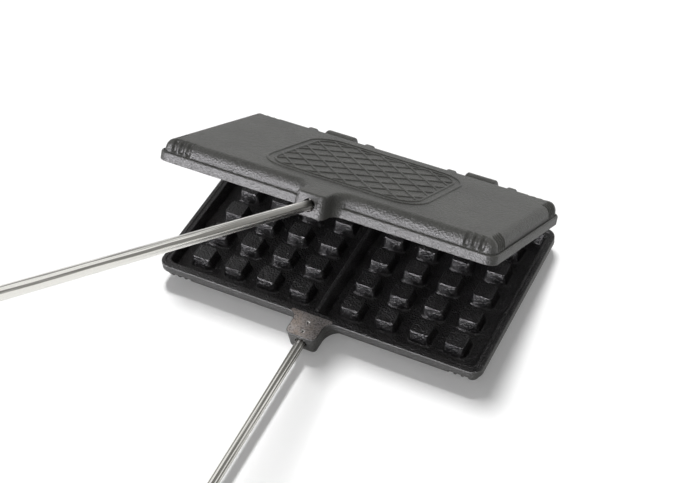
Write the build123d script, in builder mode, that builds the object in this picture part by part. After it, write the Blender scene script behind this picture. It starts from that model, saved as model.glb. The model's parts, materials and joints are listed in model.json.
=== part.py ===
"""A stovetop waffle iron: two cast iron halves on a loose back hinge, each with a long steel rod and a
turned wooden grip. It lies on a table as in use, propped open, and rests on the back edge of its flat
underside and on the lower grip.

Millimetres, +Z up, +Y to the hinge, -Y to the grips. The origin is the centre of the lower half's flat
underside. Both halves are built alike, each in the plane of its own inner face, where x runs along the
hinge, y to the back and z out through the dome."""

from build123d import *
from math import atan2, cos, degrees, radians, sin, tan
import os

# How far the upper half is lifted off the lower one as the iron lies
opening = 32.4

# The cast halves
plate_width = 222.0
plate_depth = 126.0
plate_corner = 7.0
rim_height = 6.0
rim_step = 1.2
dome_height = 14.0
dome_draft = 14.0
dome_round = 4.5
lip_width = 2.6
lip_height = 0.6
rim_width = 5.2
cavity_corner = 4.6
cavity_depth = 9.2
cavity_draft = 12.0
floor_round = 1.4

# The waffle studs: a block of them on each side of a middle ridge
stud_columns = 4
stud_rows = 5
stud_width = 12.3
stud_depth = 11.4
stud_corner = 1.6
stud_recess = 0.8
stud_draft = 10.0
stud_round = 0.6
side_margin = 16.7
end_margin = 15.3
ridge_margin = 11.8
ridge_width = 2.4
ridge_draft = 20.0

# The cast flutes over the dome's shoulder beside each corner
flute_radius = 1.3
flute_depth = 1.0
flute_start = 10.0
front_flutes = 3
front_flute_pitch = 4.8
side_flutes = 4
side_flute_pitch = 3.2

# The raised ornament on the upper half
panel_width = 108.0
panel_depth = 92.0
panel_corner = 20.0
panel_line = 1.8
panel_gap = 3.0
lattice_pitch = 12.0
lattice_angle = 45.0
relief_height = 0.7

# The hinge: a lug on the lower half between two ears on the upper one, at each side
hinge_reach = 12.7
hinge_rise = 2.8
hinge_spacing = 102.4
lug_width = 20.8
lug_radius = 8.4
ear_spacing = 42.6
ear_width = 6.2
ear_radius = 6.6
arm_top = 5.2
arm_bottom = 9.0
arm_sink = 3.0
knuckle_round = 1.0
hinge_pin_radius = 2.6
hinge_pin_head = 3.8
hinge_pin_head_height = 1.2
hinge_clearance = 0.08
closing_gap = 0.1

# The rods, in a boss at the front of each half
rod_radius = 3.175
rod_height = 6.8
rod_reach = 416.0
rod_chamfer = 0.5
socket_depth = 17.0
socket_mouth = 1.2
lower_rod_tilt = 2.4
upper_rod_tilt = 4.2
boss_width = 20.8
boss_length = 16.5
boss_blend = 6.0
boss_corner = 4.0
fit_clearance = 0.02
end_gap = 0.4

# The spring pins through each boss and its rod
spring_pins = 2
spring_pin_radius = 1.6
spring_pin_bore = 0.85
spring_pin_slit = 0.6
spring_pin_length = 11.0
spring_pin_setback = 4.7
spring_pin_spacing = 7.0
spring_pin_sink = 0.2

# The turned grips and the ferrules round their necks
grip_length = 127.0
grip_neck = 8.2
grip_shoulder = 9.6
grip_belly = 12.7
grip_tail = 10.8
grip_round = 3.0
grip_bore_depth = 104.0
ferrule_length = 16.0
ferrule_wall = 0.7
ferrule_pin_radius = 1.2
ferrule_pin_stand = 0.4

# How near a level an edge counts as lying in it
level_margin = 0.01

# What follows from these sizes
hinge_y = plate_depth / 2 + hinge_reach
boss_front = plate_depth / 2 + boss_length
dome_inset = rim_step + (dome_height - rim_height) * tan(radians(dome_draft))
flat_inset = dome_inset + dome_round * tan(radians(45 - dome_draft / 2))
stud_pitch_x = (plate_width / 2 - side_margin - ridge_margin - stud_width) / (stud_columns - 1)
stud_pitch_y = (plate_depth - 2 * end_margin - stud_depth) / (stud_rows - 1)
block_centre = (plate_width / 2 - side_margin + ridge_margin) / 2
ridge_foot = ridge_width + 2 * (cavity_depth - stud_recess) * tan(radians(ridge_draft))
lattice_step = lattice_pitch / sin(radians(lattice_angle))
lattice_bars = int((panel_width + panel_depth) / lattice_step)
lattice_inset = panel_gap + panel_line * 3 / 2
pin_setbacks = [plate_depth / 2 + spring_pin_setback + i * spring_pin_spacing for i in range(spring_pins)]
hinge_centres = (-hinge_spacing / 2, hinge_spacing / 2)
ear_centres = [x + side * ear_spacing / 2 for x in hinge_centres for side in (-1, 1)]
ferrule_radius = grip_neck + fit_clearance + ferrule_wall
grip_start = rod_reach + ferrule_wall
grip_seat = rod_reach + ferrule_length + end_gap
grip_end = rod_reach + grip_length
grip_middle = rod_reach + grip_length / 2
ferrule_pin_reach = rod_reach + ferrule_length / 2

# The slope at which the iron rests: the grip's underside is this far below the dome's flat
grip_drop = rod_height + grip_middle * tan(radians(lower_rod_tilt)) + grip_belly - dome_height
rest_tilt = degrees(atan2(grip_drop, plate_depth / 2 - flat_inset + boss_front + grip_middle))


def half_frame(slope, side):
    """The inner face's plane for one half, sloping up to the front: side is 1 above, -1 below."""
    to_back = Vector(0, cos(radians(slope)), -sin(radians(slope)))
    upward = Vector(0, sin(radians(slope)), cos(radians(slope)))
    rise = hinge_rise - closing_gap if side > 0 else hinge_rise
    return Plane(hinge_axis - to_back * hinge_y - upward * rise, x_dir=(side, 0, 0), z_dir=upward * side)


def side_plane(frame, x):
    """A plane square to the hinge, whose own x runs to the back and y out through the dome."""
    return Plane(frame.from_local_coords(Vector(x, 0, 0)), x_dir=frame.y_dir, z_dir=frame.x_dir)


def rod_plane(frame, tilt):
    """The plane where a rod leaves its boss, with z along the rod, which leans to the dome's side."""
    along = frame.y_dir * -cos(radians(tilt)) + frame.z_dir * sin(radians(tilt))
    return Plane(frame.from_local_coords(Vector(0, -boss_front, rod_height)), x_dir=frame.x_dir, z_dir=along)


rest_up = Vector(0, sin(radians(rest_tilt)), cos(radians(rest_tilt)))
rest_back = Vector(0, cos(radians(rest_tilt)), -sin(radians(rest_tilt)))
hinge_axis = rest_up * (dome_height + hinge_rise) + rest_back * hinge_y
lower_frame = half_frame(rest_tilt, -1)
upper_frame = half_frame(rest_tilt + opening, 1)
lower_rod_plane = rod_plane(lower_frame, lower_rod_tilt)
upper_rod_plane = rod_plane(upper_frame, upper_rod_tilt)


def outline():
    """The outline of a half, in the open sketch: the plate with the rod's boss blended into its front."""
    RectangleRounded(plate_width, plate_depth, plate_corner)
    with Locations((0, -boss_front / 2)):
        Rectangle(boss_width, boss_front)
    boss_corners = vertices().filter_by_position(Axis.X, -boss_width / 2, boss_width / 2).group_by(Axis.Y)
    fillet(boss_corners[-1], boss_blend)
    fillet(vertices().group_by(Axis.Y)[0], boss_corner)


def cavity_outline(inset):
    """The outline of the lip's inner edge or of the cavity, in the open sketch, at an inset from the plate's."""
    RectangleRounded(plate_width - 2 * inset, plate_depth - 2 * inset, cavity_corner)


def level_edges(frame, level):
    """The edges of the open part that lie at one level over a half's inner face."""
    return edges().filter_by(lambda edge: abs(frame.to_local_coords(edge.center()).Z - level) < level_margin)


def flute_planes(frame):
    """Planes square to each flute, which climbs from the rim over the shoulder to the dome's flat."""
    lean = atan2(flat_inset - rim_step, dome_height - rim_height)
    stand = dome_round - flute_depth + flute_radius
    inset = flat_inset - stand * cos(lean)
    height = dome_height - dome_round + stand * sin(lean)
    sides = (
        (plate_width / 2, plate_depth / 2, Vector(1, 0, 0), Vector(0, 1, 0), front_flutes, front_flute_pitch),
        (plate_depth / 2, plate_width / 2, Vector(0, 1, 0), Vector(1, 0, 0), side_flutes, side_flute_pitch),
    )
    for half_length, half_breadth, along, across, count, pitch in sides:
        for number in range(count):
            for end in (-1, 1):
                for side in (-1, 1):
                    place = along * end * (half_length - flute_start - number * pitch)
                    place += across * side * (half_breadth - inset) + Vector(0, 0, height)
                    climb = across * -side * sin(lean) + Vector(0, 0, cos(lean))
                    yield Plane(frame.from_local_coords(place), z_dir=frame.from_local_coords(climb) - frame.origin)


def flute_cutters(frame):
    """The round bars that the flutes are cut with."""
    with BuildPart() as cutters:
        with BuildSketch(*flute_planes(frame)):
            Circle(flute_radius)
        extrude(amount=dome_height, both=True)
    return cutters.part


def panel(inset, mode=Mode.ADD):
    """The ornament's rounded outline, in the open sketch, moved in by an inset."""
    RectangleRounded(panel_width - 2 * inset, panel_depth - 2 * inset, panel_corner - inset, mode=mode)


def cast_half(frame, rod_place):
    """One cast half without its hinge: rim, dome, boss and waffle cavity."""
    cutters = flute_cutters(frame)
    outward = Axis(frame.origin, frame.z_dir)
    with BuildPart() as half:
        # The rim, and the dome set in a step from it
        with BuildSketch(frame):
            outline()
        extrude(amount=rim_height)
        with BuildSketch(frame.offset(rim_height)):
            outline()
            offset(amount=-rim_step, mode=Mode.REPLACE)
        extrude(amount=dome_height - rim_height, taper=dome_draft)
        fillet(half.faces().sort_by(outward)[-1].edges(), dome_round)
        add(cutters, mode=Mode.SUBTRACT)

        # The lip round the inner face, and the cavity
        with BuildSketch(frame):
            cavity_outline(lip_width)
        extrude(amount=lip_height, mode=Mode.SUBTRACT)
        with BuildSketch(frame):
            cavity_outline(rim_width)
        extrude(amount=cavity_depth, taper=cavity_draft, mode=Mode.SUBTRACT)

        # The ridge between the two blocks, and the studs
        with BuildSketch(Plane(frame.origin, x_dir=frame.x_dir, z_dir=-frame.y_dir)):
            with BuildLine():
                Polyline(
                    (-ridge_width / 2, stud_recess),
                    (ridge_width / 2, stud_recess),
                    (ridge_foot / 2, cavity_depth),
                    (-ridge_foot / 2, cavity_depth),
                    close=True,
                )
            make_face()
        extrude(amount=(plate_depth - rim_width) / 2, both=True)
        with BuildSketch(frame.offset(stud_recess)):
            with Locations((-block_centre, 0), (block_centre, 0)):
                with GridLocations(stud_pitch_x, stud_pitch_y, stud_columns, stud_rows):
                    RectangleRounded(stud_width, stud_depth, stud_corner)
        extrude(amount=cavity_depth - stud_recess, taper=-stud_draft)

        # Soft edges: where everything meets the floor, along the ridge's top, and round the studs' tops
        fillet(level_edges(frame, cavity_depth), floor_round)
        fillet(level_edges(frame, stud_recess).sort_by(SortBy.LENGTH)[-2:], stud_round)
        tops = level_edges(frame, stud_recess)
        fillet(tops.filter_by(lambda edge: abs(frame.to_local_coords(edge.center()).X) > ridge_width), stud_round)

        # The rod's socket with its wider mouth, and the holes for the spring pins
        with BuildSketch(rod_place):
            Circle(rod_radius + fit_clearance)
        extrude(amount=-socket_depth, mode=Mode.SUBTRACT)
        with BuildSketch(rod_place):
            Circle(rod_radius + socket_mouth)
        extrude(amount=socket_mouth, both=True, mode=Mode.SUBTRACT)
        with BuildSketch(frame):
            with Locations([(0, -setback) for setback in pin_setbacks]):
                Circle(spring_pin_radius + fit_clearance)
        extrude(amount=spring_pin_sink + spring_pin_length + end_gap, mode=Mode.SUBTRACT)
    return half.part


def knuckle(frame, hinge_height, x, width, radius):
    """A lug or an ear: round about the hinge's axis, with an arm into the plate's back wall."""
    with BuildPart() as shape:
        with BuildSketch(side_plane(frame, x)):
            with Locations((hinge_y, hinge_height)):
                Circle(radius)
            with Locations((plate_depth / 2 - arm_sink, (arm_top + arm_bottom) / 2)):
                Rectangle(arm_sink / 2, arm_bottom - arm_top)
            make_hull()
        extrude(amount=width / 2, both=True)
        fillet(shape.faces().filter_by(Axis.X).edges(), knuckle_round)
    return shape.part


# The two castings
lower_casting = cast_half(lower_frame, lower_rod_plane)
upper_casting = cast_half(upper_frame, upper_rod_plane)
lugs = [knuckle(lower_frame, -hinge_rise, x, lug_width, lug_radius) for x in hinge_centres]
ears = [knuckle(upper_frame, hinge_rise - closing_gap, x, ear_width, ear_radius) for x in ear_centres]
hinge_place = Plane(hinge_axis, x_dir=(0, 1, 0), z_dir=(1, 0, 0))

with BuildPart() as lower_plate:
    add(lower_casting)
    add(lugs)
    with BuildSketch(hinge_place):
        Circle(hinge_pin_radius + hinge_clearance)
    extrude(amount=plate_width / 2, both=True, mode=Mode.SUBTRACT)
lower_plate.part.label = "lower_plate"

with BuildPart() as upper_plate:
    add(upper_casting)
    add(ears)
    with BuildSketch(hinge_place):
        Circle(hinge_pin_radius + fit_clearance)
    extrude(amount=plate_width / 2, both=True, mode=Mode.SUBTRACT)

    # The ornament: a double frame round a diamond lattice
    with BuildSketch(upper_frame.offset(dome_height)) as frames:
        for inset in (0, panel_line + panel_gap):
            panel(inset)
            panel(inset + panel_line, Mode.SUBTRACT)
    with BuildSketch(upper_frame.offset(dome_height)) as lattice:
        for angle in (-lattice_angle, lattice_angle):
            with GridLocations(lattice_step, 0, lattice_bars, 1):
                Rectangle(panel_line, panel_width + panel_depth, rotation=angle)
        panel(lattice_inset, Mode.INTERSECT)
    extrude(amount=relief_height)
upper_plate.part.label = "upper_plate"

pieces = [lower_plate.part, upper_plate.part]

# The rod and grip of each half
for name, frame, rod_place in (
    ("lower", lower_frame, lower_rod_plane),
    ("upper", upper_frame, upper_rod_plane),
):
    rod_axis = Axis(rod_place.origin, rod_place.z_dir)
    ferrule_pin_place = Plane(rod_axis.position + rod_axis.direction * ferrule_pin_reach, z_dir=rod_place.x_dir)

    with BuildPart() as rod:
        with BuildSketch(rod_place.offset(end_gap - socket_depth)):
            Circle(rod_radius)
        extrude(amount=socket_depth + rod_reach + grip_bore_depth - 2 * end_gap)
        chamfer(rod.edges(), rod_chamfer)
        with BuildSketch(frame):
            with Locations([(0, -setback) for setback in pin_setbacks]):
                Circle(spring_pin_radius + fit_clearance)
        extrude(amount=dome_height, mode=Mode.SUBTRACT)
        with BuildSketch(ferrule_pin_place):
            Circle(ferrule_pin_radius + fit_clearance)
        extrude(amount=grip_neck, both=True, mode=Mode.SUBTRACT)
    rod.part.label = f"{name}_rod"

    with BuildPart() as ferrule:
        with BuildSketch(rod_place.offset(rod_reach)):
            Circle(ferrule_radius)
        extrude(amount=ferrule_length)
        fillet(ferrule.edges().sort_by(rod_axis)[0], ferrule_wall)
        with BuildSketch(rod_place.offset(rod_reach + ferrule_wall)):
            Circle(grip_neck + fit_clearance)
        extrude(amount=ferrule_length, mode=Mode.SUBTRACT)
        with BuildSketch(rod_place.offset(rod_reach)):
            Circle(rod_radius + fit_clearance)
        extrude(amount=ferrule_wall, mode=Mode.SUBTRACT)
        with BuildSketch(ferrule_pin_place):
            Circle(ferrule_pin_radius + fit_clearance)
        extrude(amount=ferrule_radius, both=True, mode=Mode.SUBTRACT)
    ferrule.part.label = f"{name}_ferrule"

    with BuildPart() as grip:
        with BuildSketch(Plane(rod_place.origin, x_dir=rod_place.z_dir, z_dir=rod_place.x_dir)):
            with BuildLine():
                Polyline(
                    (grip_end, 0),
                    (grip_start, 0),
                    (grip_start, grip_neck),
                    (grip_seat, grip_neck),
                    (grip_seat, grip_shoulder),
                )
                TangentArc((grip_middle, grip_belly), (grip_seat, grip_shoulder), tangent=(-1, 0))
                TangentArc((grip_middle, grip_belly), (grip_end, grip_tail), tangent=(1, 0))
                Line((grip_end, grip_tail), (grip_end, 0))
            make_face()
        revolve(axis=rod_axis)
        fillet(grip.edges().sort_by(rod_axis)[-1], grip_round)
        with BuildSketch(rod_place.offset(grip_start)):
            Circle(rod_radius + fit_clearance)
        extrude(amount=grip_bore_depth - ferrule_wall, mode=Mode.SUBTRACT)
        with BuildSketch(ferrule_pin_place):
            Circle(ferrule_pin_radius + fit_clearance)
        extrude(amount=grip_belly, both=True, mode=Mode.SUBTRACT)
    grip.part.label = f"{name}_grip"

    with BuildPart() as ferrule_pin:
        with BuildSketch(ferrule_pin_place):
            Circle(ferrule_pin_radius)
        extrude(amount=ferrule_radius + ferrule_pin_stand, both=True)
        fillet(ferrule_pin.edges(), ferrule_pin_stand)
    ferrule_pin.part.label = f"{name}_ferrule_pin"

    pieces += [rod.part, ferrule.part, grip.part, ferrule_pin.part]

    for place, setback in zip(("rear", "front"), pin_setbacks):
        with BuildPart() as spring_pin:
            with BuildSketch(frame.offset(spring_pin_sink)):
                with Locations((0, -setback)):
                    Circle(spring_pin_radius)
                    Circle(spring_pin_bore, mode=Mode.SUBTRACT)
                    with Locations((0, -spring_pin_radius)):
                        Rectangle(spring_pin_slit, 2 * spring_pin_radius, mode=Mode.SUBTRACT)
            extrude(amount=spring_pin_length)
        spring_pin.part.label = f"{name}_{place}_spring_pin"
        pieces.append(spring_pin.part)

# The hinge pins, each through a pair of ears and the lug between them, with a head on its outer end
for name, side in (("left", -1), ("right", 1)):
    inner_face = side * (hinge_spacing - ear_spacing - ear_width) / 2
    outer_face = side * (hinge_spacing + ear_spacing + ear_width) / 2
    with BuildPart() as hinge_pin:
        with BuildSketch(hinge_place.offset(inner_face)):
            Circle(hinge_pin_radius)
        extrude(amount=outer_face - inner_face)
        with BuildSketch(hinge_place.offset(outer_face)):
            Circle(hinge_pin_head)
        extrude(amount=side * hinge_pin_head_height)
        fillet(hinge_pin.faces().sort_by(Axis.X)[0 if side < 0 else -1].edges(), hinge_pin_head_height / 2)
    hinge_pin.part.label = f"{name}_hinge_pin"
    pieces.append(hinge_pin.part)

os.makedirs("parts", exist_ok=True)
for piece in pieces:
    export_step(piece, f"parts/{piece.label}.step")
print(f"{len(pieces)} pieces, resting at {rest_tilt:.2f} degrees")
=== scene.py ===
# %% [markdown]
# # A stovetop waffle iron
# Two cast iron halves, hinged at the back, each with a long steel rod and a turned grip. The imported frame
# gives where everything is and how large it is. Here each piece gets the surface and the soft edges that it
# has on the real iron: sand-cast skin outside, seasoned and oiled cast iron inside, bright drawn rod,
# turned wood.
#
# We start by loading the frame, and keep its box, because nothing built here may leave it.

# %% Load the frame
import json
import math

import bpy
import bmesh
from mathutils import Matrix, Vector


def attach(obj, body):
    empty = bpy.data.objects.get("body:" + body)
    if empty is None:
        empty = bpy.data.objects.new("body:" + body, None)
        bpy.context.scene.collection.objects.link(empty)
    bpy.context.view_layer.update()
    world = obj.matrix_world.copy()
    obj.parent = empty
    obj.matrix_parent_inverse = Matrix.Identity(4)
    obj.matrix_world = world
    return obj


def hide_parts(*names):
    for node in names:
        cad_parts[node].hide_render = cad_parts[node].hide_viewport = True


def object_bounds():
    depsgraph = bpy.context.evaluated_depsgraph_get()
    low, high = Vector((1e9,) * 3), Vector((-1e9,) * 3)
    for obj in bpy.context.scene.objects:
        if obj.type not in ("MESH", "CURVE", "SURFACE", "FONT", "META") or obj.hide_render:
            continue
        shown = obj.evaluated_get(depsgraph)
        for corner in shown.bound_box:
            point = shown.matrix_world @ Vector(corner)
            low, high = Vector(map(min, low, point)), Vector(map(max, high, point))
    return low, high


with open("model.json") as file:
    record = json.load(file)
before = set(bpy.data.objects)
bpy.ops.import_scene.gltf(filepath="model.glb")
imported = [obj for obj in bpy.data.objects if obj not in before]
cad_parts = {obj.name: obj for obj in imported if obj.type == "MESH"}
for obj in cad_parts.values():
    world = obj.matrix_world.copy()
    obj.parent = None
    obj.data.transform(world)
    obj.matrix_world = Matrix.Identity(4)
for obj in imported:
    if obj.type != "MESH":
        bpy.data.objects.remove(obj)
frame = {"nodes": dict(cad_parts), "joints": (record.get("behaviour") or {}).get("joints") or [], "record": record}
cad_low, cad_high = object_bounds()
print("frame box in mm:", [round(v * 1000, 1) for v in cad_high - cad_low])

# %% [markdown]
# Both halves are the same casting, so each shape is made once, in the plane of a half's own inner face: x
# runs along the hinge, y to the back, and z out through the dome, in millimetres. A matrix then takes it to
# its place. The frame's record gives all that the two matrices need: the flat underside's normal and the
# hinge.

# %% The two halves' places
MM = 0.001


def matrix_of(*columns):
    """The rotation matrix with these three columns."""
    return Matrix(columns).transposed()


hinge = next(joint for joint in frame["joints"] if joint["name"] == "hinge")
hinge_place = Vector(hinge["pos_m"]) / MM
rest_face = next(mount for mount in frame["record"]["mounts"] if mount["name"] == "base_face")
rest_up = -Vector(rest_face["axis"])
rest_slope = math.atan2(rest_up.y, rest_up.z)
opening = math.radians(-hinge["range_deg"][0])

dome_height = 14.0
hinge_rise = 2.8
closing_gap = 0.1
ear_rise = hinge_rise - closing_gap
plate_width = 222.0
plate_depth = 126.0
hinge_reach = 12.7


def half_place(slope, side):
    """The matrix from a half's own millimetres to metres in the frame: side is 1 above, -1 below."""
    back = Vector((0, math.cos(slope), -math.sin(slope)))
    up = Vector((0, math.sin(slope), math.cos(slope)))
    rise = ear_rise if side > 0 else hinge_rise
    centre = hinge_place - back * (plate_depth / 2 + hinge_reach) - up * rise
    turn = matrix_of(Vector((side, 0, 0)), back, up * side).to_4x4()
    return Matrix.Scale(MM, 4) @ Matrix.Translation(centre) @ turn


places = {"lower": half_place(rest_slope, -1), "upper": half_place(rest_slope + opening, 1)}
for name, place in places.items():
    print(name, "inner face's centre in mm:", [round(v, 2) for v in place.translation / MM])

# %% [markdown]
# A material is a small sum: grain plus stain plus wear. Written with nodes alone, each plus is three lines,
# so one class wraps a socket and lets Python's operators add the Math nodes.

# %% Numbers on a surface
class Wire:
    """A number that changes over the surface, which Python's operators can reckon with."""

    def __init__(self, finish, socket):
        self.finish = finish
        self.socket = socket

    def __add__(self, other):
        return self.finish.math("ADD", self, other)

    def __rsub__(self, other):
        return self.finish.math("SUBTRACT", other, self)

    def __mul__(self, other):
        return self.finish.math("MULTIPLY", self, other)

    def __pow__(self, other):
        return self.finish.math("POWER", self, other)

    __radd__ = __add__
    __rmul__ = __mul__

    def clamped(self):
        """The same number, kept between 0 and 1."""
        return self.finish.node("ShaderNodeClamp", {"Value": self})

    def spread(self, low, high):
        """0 below low and 1 above high, with a smooth step between."""
        values = {"Value": self, "From Min": low, "From Max": high}
        return self.finish.node("ShaderNodeMapRange", values, interpolation_type="SMOOTHSTEP")


print("a wire can be added, taken away, multiplied and raised to a power")

# %% [markdown]
# Every other node, in a material or in a Geometry Nodes tree, is made in one way: its settings come first,
# because they decide which sockets it has, and then each socket gets a link or a value.

# %% Adding nodes
def add_node(tree, kind, inputs=None, **settings):
    """A node with its settings made first and then its inputs, by name or number."""
    node = tree.nodes.new(kind)
    for setting, value in settings.items():
        setattr(node, setting, value)
    for socket, value in (inputs or {}).items():
        plug(tree, node.inputs[socket], value)
    return node


def plug(tree, socket, value):
    """Feeds a socket with another node's output or with a value. A colour may leave out its alpha."""
    value = value.socket if isinstance(value, Wire) else value
    if isinstance(value, bpy.types.NodeSocket):
        tree.links.new(value, socket)
    elif socket.type == "RGBA":
        socket.default_value = (*value, 1)
    else:
        socket.default_value = value


print("nodes are added with their settings first")

# %% [markdown]
# A third helper holds the nodes of one material. It knows the few things that the finishes of this iron are
# made of: noise of some size, points on the lathe, blends, bumps and the shader itself.

# %% The nodes of a finish
class Finish:
    """The nodes of one material or of the sky."""

    def __init__(self, owner):
        owner.use_nodes = True
        self.owner = owner
        self.tree = owner.node_tree
        self.tree.nodes.clear()

    def math(self, operation, *values):
        return self.node("ShaderNodeMath", dict(enumerate(values)), operation=operation)

    def node(self, kind, inputs=None, output=0, **settings):
        """Adds a node and gives back one of its outputs."""
        node = add_node(self.tree, kind, inputs, **settings)
        return Wire(self, node.outputs[output])

    def on_lathe(self, *scale):
        """The point on the lathe, in metres, stretched."""
        point = self.node("ShaderNodeAttribute", output="Vector", attribute_name="lathe")
        return self.node("ShaderNodeMapping", {"Vector": point, "Scale": scale})

    def noise(self, size, detail=2.0, roughness=0.5, place=None):
        """Soft noise with features of one size in metres, on the piece or at a place of its own."""
        inputs = {"Scale": 1 / size, "Detail": detail, "Roughness": roughness}
        inputs["Vector"] = place or self.node("ShaderNodeTexCoord", output="Object")
        return self.node("ShaderNodeTexNoise", inputs)

    def blend(self, share, first, second):
        """One colour turning into another."""
        mixed = self.node("ShaderNodeMix", data_type="RGBA")
        node = mixed.socket.node
        live = {socket.name: socket for socket in node.inputs if socket.enabled}
        for name, value in {"Factor": share, "A": first, "B": second}.items():
            plug(self.tree, live[name], value)
        mixed.socket = next(socket for socket in node.outputs if socket.enabled)
        return mixed

    def bump(self, height, distance, strength=1.0):
        """A bump of a height from 0 to 1 over a distance in metres."""
        return self.node("ShaderNodeBump", {"Height": height, "Distance": distance, "Strength": strength})

    def finish(self, **sockets):
        """The shader itself: keywords name its sockets, with _ for a space."""
        inputs = {name.replace("_", " "): value for name, value in sockets.items()}
        shader = self.node("ShaderNodeBsdfPrincipled", inputs)
        return self.close(shader, "ShaderNodeOutputMaterial")

    def close(self, shader, kind):
        """Ends the nodes with an output, and gives back the material or sky."""
        add_node(self.tree, kind, {"Surface": shader})
        return self.owner


print("a finish has noise, blends and bumps")

# %% [markdown]
# The outside is the bare skin of a sand casting, dressed and lightly seasoned. It is matt and dark grey,
# with the orange-peel grain of the sand, which only shows where light rakes along it, and with faint
# stains.

# %% The outside of the castings
sand_grain = 0.0011


def outside_finish():
    skin = Finish(bpy.data.materials.new("cast_skin"))
    grain = skin.noise(sand_grain, roughness=0.6)
    pits = skin.noise(0.004)
    stain = skin.noise(0.03, detail=4, roughness=0.6)
    height = grain * 0.7 + pits * 0.3
    mottle = (grain * 0.5 + stain * 0.5).spread(0.38, 0.62)
    colour = skin.blend(mottle, (0.019, 0.019, 0.0165), (0.036, 0.036, 0.032))
    return skin.finish(
        Base_Color=colour,
        Roughness=0.56 - grain * 0.16,
        Specular_IOR_Level=0.4,
        Normal=skin.bump(height, sand_grain, 0.9),
    )


cast_skin = outside_finish()
print("a finish:", cast_skin.name)

# %% [markdown]
# Inside, oil has been baked on many times. The iron is nearly black there and shines, but the sand's grain
# is still under it, so each light breaks up into a crowd of small glints along the edges.

# %% The seasoned inside
def inside_finish():
    seasoned = Finish(bpy.data.materials.new("seasoned_iron"))
    grain = seasoned.noise(0.0012, roughness=0.65)
    pool = seasoned.noise(0.009, detail=3)
    dry = pool.spread(0.45, 0.7)
    colour = seasoned.blend(dry, (0.006, 0.005, 0.0052), (0.013, 0.0115, 0.0115))
    return seasoned.finish(
        Base_Color=colour,
        Roughness=0.28 + dry * 0.1,
        Specular_IOR_Level=0.42,
        Normal=seasoned.bump(grain, 0.001),
    )


seasoned_iron = inside_finish()
print("a finish:", seasoned_iron.name)

# %% [markdown]
# The boss's inner face never sees oil, and is plain brownish grey iron, a little rusty in its pits.

# %% The dry face of the boss
def dry_finish():
    dry = Finish(bpy.data.materials.new("dry_iron"))
    grain = dry.noise(sand_grain, detail=4, roughness=0.65)
    rust = dry.noise(0.006, detail=4, roughness=0.6)
    bare = dry.blend(rust.spread(0.4, 0.65), (0.29, 0.265, 0.25), (0.25, 0.205, 0.175))
    colour = dry.blend(grain.spread(0.38, 0.52), (0.095, 0.08, 0.073), bare)
    return dry.finish(Base_Color=colour, Roughness=0.5 + grain * 0.2, Normal=dry.bump(grain, 0.0006))


dry_iron = dry_finish()
print("a finish:", dry_iron.name)

# %% [markdown]
# The rods are bright drawn bar. Drawing leaves fine lines along the bar, which stretch each reflection into a
# long band. The bar's colour is painted with long light and dark bands, a painted reflection of a darker room
# round it, and the same bands make it a little duller in places. Both follow the bar, so they read the points
# on the lathe, which each turned piece keeps as an attribute.

# %% Drawn steel
def rod_finish():
    steel = Finish(bpy.data.materials.new("drawn_steel"))
    lines = steel.noise(0.0006, place=steel.on_lathe(1, 1, 0.012))
    bands = steel.noise(0.0017, detail=1, place=steel.on_lathe(1, 1, 0.003))
    # painted reflections: the light and dark bands of the base colour stand in for the bar mirroring a darker room
    painted_reflections = (lines * 0.25 + bands * 0.75).spread(0.43, 0.53)
    return steel.finish(
        Base_Color=steel.blend(painted_reflections, (0.17, 0.165, 0.15), (0.76, 0.75, 0.71)),
        Metallic=1.0,
        Roughness=0.16 + (1 - bands) * 0.14 + lines * 0.08,
        Normal=steel.bump(lines, 0.00003, 0.6),
    )


drawn_steel = rod_finish()
print("a finish:", drawn_steel.name)

# %% [markdown]
# The pins are plain steel, dulled by oil and heat. They have no lines to follow, so a fine speckle of noise
# on the piece's own points will do.

# %% The pins' steel
def pin_finish():
    steel = Finish(bpy.data.materials.new("spring_steel"))
    speckle = steel.noise(0.0009, detail=3)
    colour = steel.blend(speckle.spread(0.4, 0.6), (0.25, 0.24, 0.23), (0.66, 0.64, 0.61))
    return steel.finish(
        Base_Color=colour,
        Metallic=1.0,
        Roughness=0.42 + speckle * 0.2,
        Normal=steel.bump(speckle, 0.0003),
    )


pin_steel = pin_finish()
print("a finish:", pin_steel.name)

# %% [markdown]
# The grips are oiled hardwood. Its yearly rings are wide cylinders round the tree's heart, off to one side
# of the grip, so the wood's lines are drawn from the distance to that heart, bent by slow noise, with fine
# pores stretched along the grain.

# %% Turned wood
heart_place = (0.03, 0.012, 0.0)
ring_width = 0.0026


def wood_finish():
    wood = Finish(bpy.data.materials.new("turned_wood"))
    bend = wood.noise(0.03, place=wood.on_lathe(1, 1, 0.18))
    pores = wood.noise(0.0007, place=wood.on_lathe(1, 1, 0.04))
    tone = wood.noise(0.02, place=wood.on_lathe(1, 1, 0.3))
    ends = {0: wood.on_lathe(1, 1, 0.03), 1: heart_place}
    distance = wood.node("ShaderNodeVectorMath", ends, output="Value", operation="DISTANCE")
    rings = wood.math("SINE", (distance + bend * 0.012) * (2 * math.pi / ring_width)) * 0.5 + 0.5
    late = rings**3 * 0.7 + tone * 0.3
    fibre = wood.blend(late, (0.33, 0.165, 0.070), (0.175, 0.075, 0.030))
    colour = wood.blend(pores.spread(0.58, 0.72) * 0.55, fibre, (0.085, 0.036, 0.016))
    return wood.finish(
        Base_Color=colour,
        Roughness=0.54 + late * 0.1,
        Specular_IOR_Level=0.22,
        Normal=wood.bump(pores * 0.6 + rings * 0.2, 0.00015, 0.5),
    )


turned_wood = wood_finish()
print("a finish:", turned_wood.name)

# %% [markdown]
# A mesh is made from points and faces in a half's own millimetres. Nearly every piece of the iron is a
# stack of rings with two caps: the castings, the studs, the ridge and everything turned.

# %% Making meshes
def new_object(name, data):
    """An object in the scene that carries a mesh, a lamp or a camera."""
    thing = bpy.data.objects.new(name, data)
    bpy.context.scene.collection.objects.link(thing)
    return thing


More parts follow.
